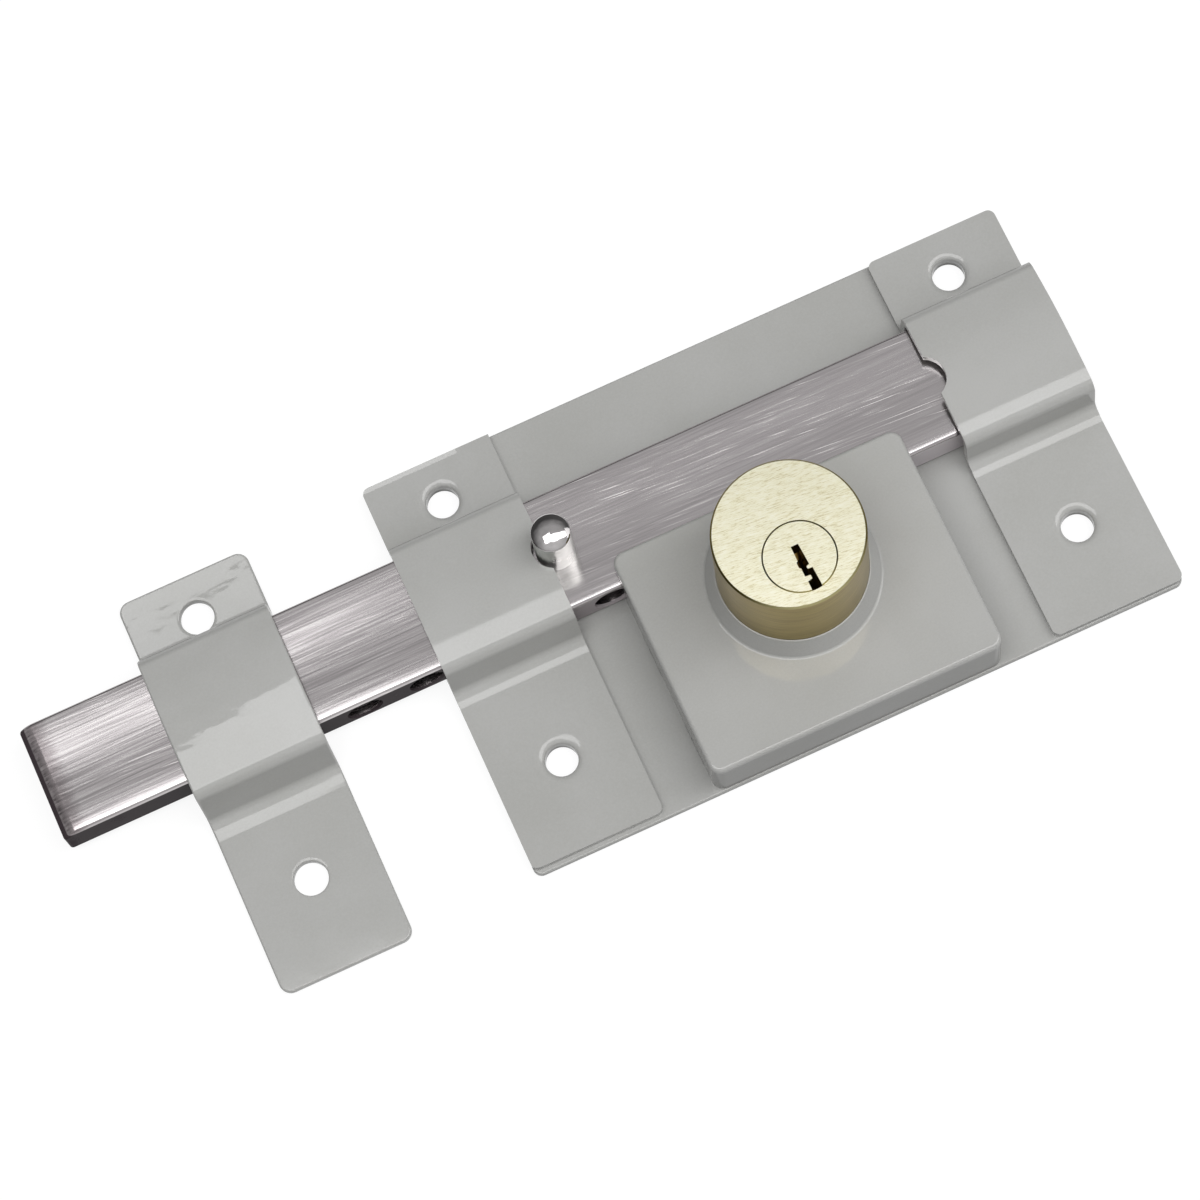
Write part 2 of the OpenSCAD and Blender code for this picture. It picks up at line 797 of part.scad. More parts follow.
// Round nose that enters the bar, and a block with the slot for the drive pin
module locking_plunger() {
    r = plunger_d / 2;
    left = -plunger_x - block_left;
    right = -plunger_x + block_right;
    slot_left = -crank_r - slot_half - pass_gap;
    root = block_front - 1;
    color(steel)
        difference() {
            union() {
                translate([-plunger_x, 0, plunger_z])
                    rotate([-90, 0, 0])
                        rotate_extrude()
                            polygon([[0, root], [r, root], [r, plunger_tip - plunger_edge],
                                [r - plunger_edge, plunger_tip], [0, plunger_tip]]);
                translate([left, block_back, bar_z])
                    cube([right - left, block_front - block_back, block_top - bar_z]);
            }
            translate([slot_left, pin_rest - slot_half, plate_t])
                cube([right - slot_left + 1, 2 * slot_half, block_top]);
            translate([left, root - eps, block_top])
                cube([right - left, block_front - root + eps, plunger_d]);
        }
}

module rivet_forms(gap) {
    for (x = [-1, 1])
        translate([-plunger_x + x * (guide_l / 2 - rivet_inset), guide_front - guide_w / 2, 0])
            countersunk(rivet_d, rivet_head_d, rivet_head_h, guide_top, gap);
}

// Block riveted to the plate, bored for the plunger
module plunger_guide() {
    color(steel)
        difference() {
            translate([-plunger_x - guide_l / 2, guide_front - guide_w, plate_t])
                cube([guide_l, guide_w, guide_top - plate_t]);
            translate([-plunger_x, 0, plunger_z])
                along_y(plunger_d / 2 + run_gap, guide_front - guide_w - 1, guide_front + 1);
            rivet_forms(press_gap);
        }
}

module guide_rivets() {
    color(steel)
        rivet_forms(0);
}

module bar_section() {
    polygon([[bar_near + bar_edge, bar_z], [bar_far - bar_edge, bar_z],
        [bar_far, bar_z + bar_edge], [bar_far, bar_top - bar_edge],
        [bar_far - bar_edge, bar_top], [bar_near + bar_edge, bar_top],
        [bar_near, bar_top - bar_edge], [bar_near, bar_z + bar_edge]]);
}

module bar() {
    color(steel)
        difference() {
            translate([bar_left + bar_l / 2, 0, 0])
                along_x(bar_l)
                    bar_section();
            // Bevel across the top of the leading end
            translate([0, bar_far + 1, 0])
                rotate([90, 0, 0])
                    linear_extrude(height = bar_w + 2)
                        polygon([[bar_left - 1, bar_top - bar_nose_h], [bar_left, bar_top - bar_nose_h],
                            [bar_left + bar_nose_l, bar_top], [bar_left + bar_nose_l, bar_top + 1],
                            [bar_left - 1, bar_top + 1]]);
            for (k = [0 : hole_count - 1])
                translate([-plunger_x - k * pitch, 0, plunger_z])
                    along_y(hole_d / 2, bar_near - 1, bar_near + hole_depth);
            translate([knob_x, bar_y, bar_z - eps])
                cylinder(d = knob_shank_d + 2 * press_gap, h = bar_h + 2 * eps);
        }
}

// Domed pin that stands on the bar, with its shank riveted through it
module knob_pin() {
    r = knob_d / 2;
    color(polished)
        translate([knob_x, bar_y, bar_z])
            rotate_extrude()
                polygon(concat(
                    [[0, 0], [knob_shank_d / 2, 0], [knob_shank_d / 2, bar_h], [r, bar_h]],
                    [for (a = [0 : 7.5 : 90])
                        [r * cos(a), bar_h + knob_h - r + r * sin(a)]]));
}

base_plate();
left_strap();
right_strap();
keeper();
lock_box();
guard_ring();
cylinder_body();
plug();
key_pins();
driver_pins();
pin_springs();
chamber_caps();
plug_clip();
back_plate();
back_plate_screws();
cam();
cam_screw();
drive_pin();
locking_plunger();
plunger_guide();
guide_rivets();
bar();
knob_pin();
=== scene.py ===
# Surface-mounted bar lock for a roller shutter: sheet-metal pieces, finishes, light and camera.
import math
import bmesh
import bpy
from mathutils import Matrix, Vector


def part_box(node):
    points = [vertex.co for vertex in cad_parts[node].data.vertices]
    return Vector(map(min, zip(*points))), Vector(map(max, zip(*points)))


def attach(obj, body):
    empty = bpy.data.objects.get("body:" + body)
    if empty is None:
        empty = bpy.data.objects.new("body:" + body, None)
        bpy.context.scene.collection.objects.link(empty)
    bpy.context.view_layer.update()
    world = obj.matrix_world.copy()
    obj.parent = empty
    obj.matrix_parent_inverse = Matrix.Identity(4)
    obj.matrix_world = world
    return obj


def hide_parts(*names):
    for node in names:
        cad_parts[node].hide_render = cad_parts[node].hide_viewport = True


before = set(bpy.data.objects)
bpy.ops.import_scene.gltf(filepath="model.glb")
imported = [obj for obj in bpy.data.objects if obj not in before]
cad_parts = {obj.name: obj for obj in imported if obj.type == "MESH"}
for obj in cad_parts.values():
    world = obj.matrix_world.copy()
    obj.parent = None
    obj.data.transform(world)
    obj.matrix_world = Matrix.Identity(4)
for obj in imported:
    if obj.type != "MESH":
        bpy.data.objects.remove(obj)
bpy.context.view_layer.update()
MM = 0.001
MICRON = 0.000001
# Points closer together than this, in metres, count as one place
SAME = 0.000001
BLACK = (0, 0, 0, 1)
WHITE = (1, 1, 1, 1)

# Sizes in millimetres, as the frame has them: x runs along the bar, y from the box across the bar to
# the far side, and z out of the plate
PLATE = (127.0, 79.4, 1.5)
PLATE_CORNER = 1.6
# Rounding of the long edges of plate and straps
SHEET_EDGE = 0.35
BAR = {"near": 0.4, "far": 22.6, "bottom": 1.8, "top": 9.8}
BAR_MIDDLE = 11.5
KNOB_X = -36.3
NOTCH_R = 4.2
PLUNGER_X = -6.3
BLIND_HOLES = 7
BOX_WALL = 1.5
BOX_CORNER = 2.2
BOX_EDGE = 0.8
# The middles of the tabs under the box's end walls, measured from its near side, and the tabs' width
TABS = (9.8, 27.8)
TAB_W = 8
CYLINDER_Y = -11.4
CYLINDER_TOP = 35.4

# Screw holes of plate, straps and keeper, measured from the far edge
HOLE_FROM_FAR = 8.3
HOLE_SPAN = 53.6
STRAP_HOLE_R = 3.0
KEEPER_HOLE_R = 3.15

# The strip that straps and keeper are bent from, and what their bends share: the inner radii of the
# shoulders and feet, the lean of the far wall, the place and the curve of the crown, and in degrees
# the slope of the bridge before the near shoulder and that of the wall as it runs out into the foot
STRIP_W = 25.4
STRIP_T = 1.5
SHOULDER_R = 1.2
FOOT_R = 2.0
FAR_LEAN = 0.8
NEAR_GAP = 1.95
CROWN_SHIFT = 1.5
CROWN_REACH = 6.9
BRIDGE_SLOPE = 10.8
RUN_OUT_SLOPE = 20
ARC_STEPS = 10

# What differs from strip to strip: the gaps to the bar beyond it and above it, the crown's rise over
# the shoulders, where the bridge begins to drop faster and half the length of that curve, where the
# near shoulder is, and where and in what radius the run-out meets the foot after its straight length
BENDS = {
    "left_strap": {"far_gap": 0.4, "over_gap": 0.75, "crown": 1.72, "mid_y": 3.2, "mid_reach": 2.3,
                   "shoulder_y": -0.8, "heel": -5.6, "heel_r": 6.0, "run_out": 2.1},
    "right_strap": {"far_gap": 0.4, "over_gap": 0.65, "crown": 1.9, "mid_y": 0.6, "mid_reach": 1.0,
                    "shoulder_y": -2.0, "heel": -5.95, "heel_r": 6.0, "run_out": 2.5},
    "keeper": {"far_gap": 0.5, "over_gap": 1.0, "crown": 2.1, "mid_y": 2.0, "mid_reach": 2.0,
               "shoulder_y": -3.1, "heel": -8.4, "heel_r": 8.0, "run_out": 1.85},
}


# Camera and light

def place_camera():
    """Camera fitted to the photograph's straight edges and circles, with its place in millimetres."""
    camera = bpy.data.objects.new("camera", bpy.data.cameras.new("camera"))
    bpy.context.collection.objects.link(camera)
    right = Vector((0.910116, -0.406796, -0.078783))
    down = Vector((-0.411070, -0.862540, -0.295036))
    ahead = Vector((0.052066, 0.300902, -0.952233))
    turn = Matrix((right, -down, -ahead)).transposed().to_4x4()
    camera.matrix_world = Matrix.Translation(Vector((-71.647, -224.480, 719.322)) * MM) @ turn
    camera.data.lens = 125.439
    camera.data.sensor_width = 36
    camera.data.clip_start = 0.05
    camera.data.clip_end = 20
    bpy.context.scene.camera = camera


def rectangular_lamp(name, width, depth, radiance):
    """A rectangular lamp, its size in metres, that looks equally bright from wherever it shines."""
    lamp = bpy.data.lights.new(name, "AREA")
    lamp.shape = "RECTANGLE"
    lamp.size, lamp.size_y = width, depth
    lamp.energy = radiance * math.pi * width * depth
    holder = bpy.data.objects.new(name, lamp)
    bpy.context.collection.objects.link(holder)
    return holder


def softbox(name, left, right, near, far, height, radiance):
    """A level lamp over the object, from left to right and from near to far, in metres."""
    holder = rectangular_lamp(name, right - left, far - near, radiance)
    holder.location = ((left + right) / 2, (near + far) / 2, height)


def side_lamp(name, place, size, radiance):
    """A lamp beside the object that faces it."""
    holder = rectangular_lamp(name, *size, radiance)
    look = (-Vector(place)).to_track_quat("-Z", "Y").to_matrix().to_4x4()
    holder.matrix_world = Matrix.Translation(Vector(place)) @ look


# Colour and node helpers

def colour(code):
    parts = [int(code[i:i + 2], 16) / 255 for i in (1, 3, 5)]
    return [p / 12.92 if p <= 0.04045 else ((p + 0.055) / 1.055) ** 2.4 for p in parts] + [1.0]


def as_colour(value):
    return colour(value) if isinstance(value, str) else value


def feed(tree, socket, value):
    """Links another node's socket to this one, or sets it to a plain value."""
    if isinstance(value, bpy.types.NodeSocket):
        tree.links.new(value, socket)
    else:
        socket.default_value = value


def add_node(tree, kind, settings=None, **inputs):
    """Adds a node. An input is named with _ for each space, or numbered as i0, i1 and so on."""
    node = tree.nodes.new(kind)
    for key, value in (settings or {}).items():
        setattr(node, key, value)
    for key, value in inputs.items():
        numbered = key[0] == "i" and key[1:].isdigit()
        feed(tree, node.inputs[int(key[1:]) if numbered else key.replace("_", " ")], value)
    return node


def new_material(name):
    material = bpy.data.materials.new(name)
    material.use_nodes = True
    tree = material.node_tree
    tree.nodes.clear()
    output = add_node(tree, "ShaderNodeOutputMaterial")
    shader = add_node(tree, "ShaderNodeBsdfPrincipled")
    tree.links.new(shader.outputs[0], output.inputs[0])
    coords = add_node(tree, "ShaderNodeTexCoord").outputs["Object"]
    return material, tree, shader, coords


def axes(tree, coords):
    node = add_node(tree, "ShaderNodeSeparateXYZ", Vector=coords)
    return node.outputs["X"], node.outputs["Y"], node.outputs["Z"]


def slanted(tree, coords, degrees):
    """The coordinates turned about z."""
    turn = (0, 0, math.radians(degrees))
    return add_node(tree, "ShaderNodeMapping", Vector=coords, Rotation=turn).outputs[0]


def noise(tree, coords, size, detail, roughness=0.5):
    """Noise whose cells are about as large as size, in millimetres along x, y and z."""
    at = add_node(tree, "ShaderNodeMapping", Vector=coords, Scale=[1000.0 / s for s in size])
    node = add_node(tree, "ShaderNodeTexNoise", Vector=at.outputs[0], Scale=1.0, Detail=detail,
                    Roughness=roughness)
    return node.outputs["Fac"]


def ramp(tree, source, stops):
    node = add_node(tree, "ShaderNodeValToRGB", Fac=source)
    marks = node.color_ramp.elements
    for mark, (place, value) in zip(marks, (stops[0], stops[-1])):
        mark.position, mark.color = place, as_colour(value)
    for place, value in stops[1:-1]:
        marks.new(place).color = as_colour(value)
    return node.outputs["Color"]


def mix(tree, share, first, second, blend="MIX"):
    """The first colour, given over to the second by its share."""
    node = add_node(tree, "ShaderNodeMix", {"data_type": "RGBA", "blend_type": blend},
                    i0=share, i6=as_colour(first), i7=as_colour(second))
    return node.outputs[2]


def span(tree, value, low, high, to_low=0.0, to_high=1.0):
    """The value from low to high, drawn out from to_low to to_high, and held beyond them."""
    node = add_node(tree, "ShaderNodeMapRange", Value=value)
    for socket, amount in zip(("From Min", "From Max", "To Min", "To Max"), (low, high, to_low, to_high)):
        node.inputs[socket].default_value = amount
    return node.outputs[0]


def span_mm(tree, place, low, high, to_low=0.0, to_high=1.0):
    """As span, for a place between low and high in millimetres."""
    return span(tree, place, low * MM, high * MM, to_low, to_high)


def calc(tree, operation, *values):
    numbered = {f"i{k}": value for k, value in enumerate(values)}
    return add_node(tree, "ShaderNodeMath", {"operation": operation}, **numbered).outputs[0]


def total(tree, first, *others):
    for other in others:
        first = calc(tree, "ADD", first, other)
    return first


def product(tree, first, *others):
    for other in others:
        first = calc(tree, "MULTIPLY", first, other)
    return first


def raise_surface(tree, shader, height):
    """Bump of the given height in metres."""
    bump = add_node(tree, "ShaderNodeBump", Height=height, Strength=1.0, Distance=1.0)
    feed(tree, shader.inputs["Normal"], bump.outputs[0])


# Finishes

def hand_bends(tree, coords, x, y):
    """A loose strip bent by hand: its bridge is a little twisted, its far foot a little dished, both
    wavy."""
    turn = span_mm(tree, x, -112.7, -87.3, 0.04804, -0.018)
    twist = product(tree, turn, span_mm(tree, y, -3, 12, 7.5 * MM, -7.5 * MM))
    dents = noise(tree, coords, (11, 6, 9), 2.5)
    on_bridge = product(tree, dents, span_mm(tree, y, -4, 4, 0.0, 0.2 * MM))
    dish = span_mm(tree, y, 28.2, 39.5, 0.0, 1.21 * MM)
    swells = noise(tree, coords, (16, 11, 9), 0.0)
    on_foot = product(tree, swells, span_mm(tree, y, 24.5, 28, 0.0, 0.2 * MM))
    return total(tree, twist, on_bridge, dish, on_foot)


# Stove enamel on pressed steel: smooth and glossy, with a faint orange peel that ripples the
# reflections, and a slightly uneven film. Walls below dull_below are sprayed at a slant, so the film
# is thin and dull there and takes little of the bright floor.
def grey_enamel(name="grey stove enamel", hand_bent=False, lifted_edge=False, dull_below=None):
    material, tree, shader, coords = new_material(name)
    x, y, z = axes(tree, coords)
    if dull_below is not None:
        gloss = span_mm(tree, z, dull_below - 0.3, dull_below + 0.3, 0.03, 0.5)
        feed(tree, shader.inputs["Specular IOR Level"], gloss)
    film = noise(tree, coords, (24, 24, 24), 3.0, 0.55)
    grain = noise(tree, coords, (0.35, 0.35, 0.35), 1.0)
    mixed = calc(tree, "MULTIPLY_ADD", grain, 0.5, film)
    feed(tree, shader.inputs["Base Color"], ramp(tree, mixed, [(0.55, "#A4A4A1"), (0.95, "#ABABA9")]))
    shader.inputs["Roughness"].default_value = 0.07
    shader.inputs["IOR"].default_value = 1.5
    # Peel 2.4 mm across and 4 micrometres high, on waves 13 mm across and 15 micrometres high
    peel = noise(tree, coords, (2.4, 2.4, 2.4), 1.5, 0.4)
    waves = noise(tree, coords, (13, 13, 13), 1.0, 0.4)
    height = total(tree, product(tree, waves, 15 * MICRON), product(tree, peel, 4 * MICRON))
    if hand_bent:
        height = total(tree, height, hand_bends(tree, coords, x, y))
    if lifted_edge:
        # The left strap's far edge is lifted a little along its left half and takes the lamp there
        on_left = span_mm(tree, x, -45, -44, 1.0, 0.0)
        lift = product(tree, span_mm(tree, y, 38.8, 39.7, 0.0, 0.23 * MM), on_left)
        height = total(tree, height, lift)
    raise_surface(tree, shader, height)
    return material


def grinding_lines(tree, coords, x):
    """Grinding lines in two passes a degree apart. They are 0.3 mm wide, coarser than on the real bar,
    so that they show from 0.75 m away, and weaker on the length that runs under the straps."""
    passes = [noise(tree, slanted(tree, coords, degrees), (length, 0.3, 5), 0.0)
              for degrees, length in ((0.4, 14), (-0.7, 24))]
    depth = span_mm(tree, x, -80, -45, 1.0, 0.35)
    return calc(tree, "MULTIPLY_ADD", calc(tree, "SUBTRACT", total(tree, *passes), 1.0), depth, 1.0)


def flocks_of_scratches(tree, coords):
    """Bright scratches in flocks, 10 to 22 mm long, a few degrees off the bar's line."""
    scratches = [noise(tree, slanted(tree, coords, degrees), (length, 0.22, 5), 1.0)
                 for degrees, length in ((5, 10), (3, 22))]
    flock = span(tree, noise(tree, coords, (45, 6, 6), 1.0), 0.35, 0.6, -0.1, 0.03)
    marks = total(tree, flock, calc(tree, "MAXIMUM", *scratches))
    return ramp(tree, marks, [(0.64, BLACK), (0.8, (0.7, 0.7, 0.7, 1))])


def hollow_top(tree, y):
    """Height of the bar's top across it, as the belt leaves it a little hollow: from its slopes in
    degrees, rising with y, at places in millimetres."""
    slopes = ((0.4, 14), (0.8, 10), (1.15, 6.5), (1.5, 2.6), (2.2, 0.8), (3.0, -0.2), (4.0, -1.8),
              (5.0, -2.9), (7.0, -3.0), (9.0, -1.0), (11.0, 0.2), (13.0, 1.5), (15.0, 2.3), (17.0, 2.5),
              (19.0, 2.3), (20.5, 1.2), (21.5, 0.2), (22.6, -5.0))
    heights = [0.3]
    for (y0, s0), (y1, s1) in zip(slopes, slopes[1:]):
        heights.append(heights[-1] + (y1 - y0) * math.tan(math.radians((s0 + s1) / 2)))
    profile = add_node(tree, "ShaderNodeFloatCurve", Value=span_mm(tree, y, BAR["near"], BAR["far"]))
    points = profile.mapping.curves[0].points
    for k, ((place, _), height) in enumerate(zip(slopes, heights)):
        at = ((place - BAR["near"]) / (BAR["far"] - BAR["near"]), height)
        if k in (0, len(slopes) - 1):
            points[0 if k == 0 else -1].location = at
        else:
            points.new(*at)
    profile.mapping.update()
    return product(tree, profile.outputs[0], MM)


# Cold-drawn flat steel bar, its top belt-ground lengthwise to a bright satin. Its sides are dull, and their
# colour is
# painted reflection: dark where the bar stands free, lighter over the plate. The grinding lines draw the
# lamps out across the bar.
def ground_bar():
    material, tree, shader, coords = new_material("belt-ground steel bar")
    x, y, z = axes(tree, coords)
    shader.inputs["Anisotropic"].default_value = 0.6
    across = add_node(tree, "ShaderNodeCombineXYZ", X=0.0, Y=1.0, Z=0.0)
    feed(tree, shader.inputs["Tangent"], across.outputs[0])
    lines = grinding_lines(tree, coords, x)
    bands = noise(tree, coords, (60, 1.5, 5), 2.0)
    ground = span(tree, calc(tree, "MULTIPLY_ADD", bands, 0.35, lines), 0.82, 1.48)
    bright = ramp(tree, ground, [(0.0, "#B3AEAF"), (0.5, "#C1BCBD"), (1.0, "#CFCBCB")])
    scratch = flocks_of_scratches(tree, coords)
    top = mix(tree, scratch, bright, "#FBF6F5")
    # Painted shade darkens the leading end over its last 5 mm, and the end is dull there
    ragged_end_x = calc(tree, "MULTIPLY_ADD", noise(tree, coords, (2, 0.6, 2), 3.0), 3 * MM, x)
    painted_end_shade = ramp(tree, span_mm(tree, ragged_end_x, -135.3, -130),
                [(0.0, "#E2DFDF"), (0.3, "#C4BFC0"), (0.55, "#CFCBCC"), (1.0, WHITE)])
    nose = span_mm(tree, ragged_end_x, -135.8, -132.8, 1.0, 0.0)
    top = mix(tree, 1.0, top, painted_end_shade, "MULTIPLY")
    # Painted shade darkens the top along its far edge
    far_edge_shade = span_mm(tree, y, BAR["far"] - 0.5, BAR["far"] - 0.3)
    top = mix(tree, far_edge_shade, top, "#A09A9B")
    # Painted reflection on the sides: dark on the length that stands free, lighter over the plate; the
    # drilled holes are bright again
    skin_with_painted_reflection = ramp(tree, span_mm(tree, x, -70, 30), [(0.0, "#413A3D"), (0.3, "#9D9698"), (1.0, "#CBC5C8")])
    in_hole = product(tree, calc(tree, "COMPARE", y, (BAR["near"] + 3.8) * MM, 3.2 * MM),
                      calc(tree, "GREATER_THAN", z, (BAR["bottom"] + 0.1) * MM),
                      calc(tree, "COMPARE", x, (PLUNGER_X + KNOB_X) * MM, (4 - KNOB_X) * MM))
    is_top = span_mm(tree, z, BAR["top"] - 0.75, BAR["top"] - 0.55)
    is_bright = calc(tree, "MAXIMUM", in_hole, is_top)
    feed(tree, shader.inputs["Base Color"], mix(tree, is_bright, skin_with_painted_reflection, top))
    metallic = product(tree, is_bright, calc(tree, "MULTIPLY_ADD", nose, -0.8, 1.0))
    feed(tree, shader.inputs["Metallic"], metallic)
    feed(tree, shader.inputs["Specular IOR Level"], span(tree, is_bright, 0.0, 1.0, 0.01, 0.5))
    rough = total(tree, span(tree, lines, 0.6, 1.4, 0.14, 0.2), product(tree, nose, 0.3))
    feed(tree, shader.inputs["Roughness"], calc(tree, "MULTIPLY_ADD", scratch, 0.16, rough))
    height = calc(tree, "MULTIPLY_ADD", lines, 0.4 * MICRON, hollow_top(tree, y))
    raise_surface(tree, shader, height)
    return material


# Turned and hand-polished steel: near mirror, a little uneven, with a few smudges; the shank is
# duller than the dome.
def polished_pin():
    material, tree, shader, coords = new_material("polished turned steel")
    _, _, z = axes(tree, coords)
    shader.inputs["Metallic"].default_value = 1.0
    smudge = noise(tree, coords, (3, 3, 3), 2.0)
    dome = ramp(tree, smudge, [(0.3, "#BDBABA"), (0.7, "#CFCCCC")])
    on_dome = span_mm(tree, z, 20.2, 20.6)
    feed(tree, shader.inputs["Base Color"], mix(tree, on_dome, "#ACAEAA", dome))
    dull = span_mm(tree, z, 20.2, 20.6, 0.22, 0.0)
    feed(tree, shader.inputs["Roughness"], total(tree, dull, span(tree, smudge, 0.3, 0.7, 0.05, 0.1)))
    # Uneven by a few hundredths of a millimetre over 1.4 mm, which breaks up the lamps' reflections
    uneven = noise(tree, coords, (1.4, 1.4, 1.4), 1.5)
    raise_surface(tree, shader, product(tree, uneven, 50 * MICRON))
    return material


# Lock brass: the faces are brushed pale and matt with short strokes, the turned walls stay darker
# and glossier; the broken edge at the face is tarnished, with painted shade on the far side and a painted
# glint on the near side.
def lock_brass(name, tarnish_and_shade):
    material, tree, shader, coords = new_material(name)
    _, y, z = axes(tree, coords)
    shader.inputs["Metallic"].default_value = 1.0
    is_face = calc(tree, "GREATER_THAN", z, (CYLINDER_TOP - 0.02) * MM)
    # Strokes along the bar, 1.5 mm long and 0.14 mm wide, over blotches 2 mm across
    strokes = noise(tree, slanted(tree, coords, 6), (1.5, 0.14, 1.0), 3.0, 0.75)
    blotches = noise(tree, coords, (2, 1.4, 2), 2.0)
    marks = calc(tree, "MULTIPLY_ADD", blotches, 0.12, strokes)
    face = ramp(tree, marks, [(0.38, "#C6BA8A"), (0.52, "#EDE9CC"), (0.75, "#F7F5E4")])
    turning = noise(tree, coords, (9, 9, 0.3), 3.0)
    wall = ramp(tree, turning, [(0.3, "#907C38"), (0.7, "#AC974C")])
    # The edge carries a painted glint at the near side, and toward the far side it is tarnished and darker
    # with painted shade
    is_edge = calc(tree, "GREATER_THAN", z, (CYLINDER_TOP - 0.4) * MM)
    edge = mix(tree, span_mm(tree, y, -24, -18), "#C9BF8C", tarnish_and_shade)
    wall = mix(tree, is_edge, wall, edge)
    feed(tree, shader.inputs["Base Color"], mix(tree, is_face, wall, face))
    feed(tree, shader.inputs["Roughness"], span(tree, is_face, 0.0, 1.0, 0.28, 0.31))
    raise_surface(tree, shader, product(tree, strokes, 12 * MICRON))
    return material


# Plain metal of the pieces inside the lock: an even satin with faint blotches.
def inner_metal(name, dark, light, roughness):
    material, tree, shader, coords = new_material(name)
    shader.inputs["Metallic"].default_value = 1.0
    tint = ramp(tree, noise(tree, coords, (1.1, 1.1, 1.1), 3.0), [(0.3, dark), (0.7, light)])
    feed(tree, shader.inputs["Base Color"], tint)
    shader.inputs["Roughness"].default_value = roughness
    return material


# Modelling helpers

def box_mm(node):
    """The low and the high corner of a node of the frame, in millimetres."""
    return [[place / MM for place in corner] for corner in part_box(node)]


def activate(piece):
    bpy.ops.object.select_all(action="DESELECT")
    piece.select_set(True)
    bpy.context.view_layer.objects.active = piece


def start(name, primitive, **settings):
    bpy.ops.object.select_all(action="DESELECT")
    primitive(**settings)
    piece = bpy.context.active_object
    piece.name = piece.data.name = name
    bpy.ops.object.transform_apply(location=True, rotation=True, scale=True)
    return piece


def block(name, size, middle):
    """A block of the given size round its middle, in millimetres."""
    return start(name, bpy.ops.mesh.primitive_cube_add, size=1, scale=[length * MM for length in size],
                 location=[place * MM for place in middle])


def rod(name, radius, length, middle, sides, rotation=(0, 0, 0)):
    """A cylinder along z, unless it is rotated, in millimetres."""
    return start(name, bpy.ops.mesh.primitive_cylinder_add, vertices=sides, radius=radius * MM,
                 depth=length * MM, location=[place * MM for place in middle], rotation=rotation)


def turned(name, x, y, profile, closed=False, sides=96):
    """A turned piece: rings of the profile's radii and heights, each extruded from the last."""
    r, z = profile[0]
    piece = start(name, bpy.ops.mesh.primitive_circle_add, vertices=sides, radius=r * MM,
                  fill_type="NOTHING" if closed else "NGON", location=(x * MM, y * MM, z * MM))
    activate(piece)
    bpy.ops.object.mode_set(mode="EDIT")
    bpy.ops.mesh.select_mode(type="VERT")
    bpy.ops.mesh.select_all(action="SELECT")
    for (r0, z0), (r1, z1) in zip(profile, profile[1:]):
        bpy.ops.mesh.extrude_region_move(TRANSFORM_OT_translate={"value": (0, 0, (z1 - z0) * MM)})
        bpy.ops.transform.resize(value=(r1 / r0, r1 / r0, 1), center_override=(x * MM, y * MM, z1 * MM))
    if closed:
        bpy.ops.mesh.select_all(action="SELECT")
        bpy.ops.mesh.remove_doubles(threshold=SAME)
    bpy.ops.mesh.select_all(action="SELECT")
    bpy.ops.mesh.normals_make_consistent(inside=False)
    leave()
    return piece


def edit(piece, kind, wanted):
    """Opens the piece in edit mode with only those of its edges or faces selected that are wanted."""
    activate(piece)
    bpy.ops.object.mode_set(mode="EDIT")
    bpy.ops.mesh.select_mode(type=kind)
    bpy.ops.mesh.select_all(action="DESELECT")
    shape = bmesh.from_edit_mesh(piece.data)
    for item in (shape.edges if kind == "EDGE" else shape.faces):
        item.select_set(bool(wanted(item)))
    bmesh.update_edit_mesh(piece.data)


def leave():
    bpy.ops.object.mode_set(mode="OBJECT")


def modify(piece, kind, **settings):
    activate(piece)
    modifier = piece.modifiers.new(kind.lower(), kind)
    for key, value in settings.items():
        setattr(modifier, key, value)
    bpy.ops.object.modifier_apply(modifier=modifier.name)


def cut(piece, cutter):
    modify(piece, "BOOLEAN", object=cutter, operation="DIFFERENCE", solver="EXACT")
    bpy.data.objects.remove(cutter)


def round_edges(piece, width, segments, wanted):
    """Rounds off the edges that are wanted, over a width in millimetres."""
    edit(piece, "EDGE", wanted)
    bpy.ops.mesh.bevel(offset=width * MM, segments=segments, affect="EDGES")
    leave()


def break_edges(piece, width, degrees=40):
    """Takes the sharpness off all edges that are bent by more than the angle."""
    modify(piece, "BEVEL", width=width * MM, segments=3, limit_method="ANGLE",
           angle_limit=math.radians(degrees))


def is_upright(edge):
    a, b = edge.verts
    return abs(a.co.x - b.co.x) < SAME and abs(a.co.y - b.co.y) < SAME


def finish_piece(piece, material, body, node):
    activate(piece)
    bpy.ops.object.shade_smooth_by_angle(angle=math.radians(35))
    modify(piece, "WEIGHTED_NORMAL", keep_sharp=True, weight=80)
    piece.data.materials.clear()
    piece.data.materials.append(material)
    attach(piece, body)
    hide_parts(node)


# Sheet-metal pieces

def hole_rows(far):
    """y of the two screw holes of a piece, from its far edge."""
    return far - HOLE_FROM_FAR, far - HOLE_FROM_FAR - HOLE_SPAN


def strip_line(path, radii):
    """Points along the middle of a strip that follows the path, with an arc at each corner."""
    points = [Vector(path[0])]
    for before, corner, after, r in zip(path, path[1:], path[2:], radii):
        before, corner, after = Vector(before), Vector(corner), Vector(after)
        into = (corner - before).normalized()
        out = (after - corner).normalized()
        angle = into.angle_signed(out)
        middle = r + STRIP_T / 2
        begin = corner - into * middle * math.tan(abs(angle) / 2)
        side = Vector((into.y, -into.x)) * (1 if angle > 0 else -1)
        centre = begin + side * middle
        for i in range(ARC_STEPS + 1):
            spoke = -side
            spoke.rotate(Matrix.Rotation(-angle * i / ARC_STEPS, 2))
            points.append(centre + spoke * middle)
    points.append(Vector(path[-1]))
    return points


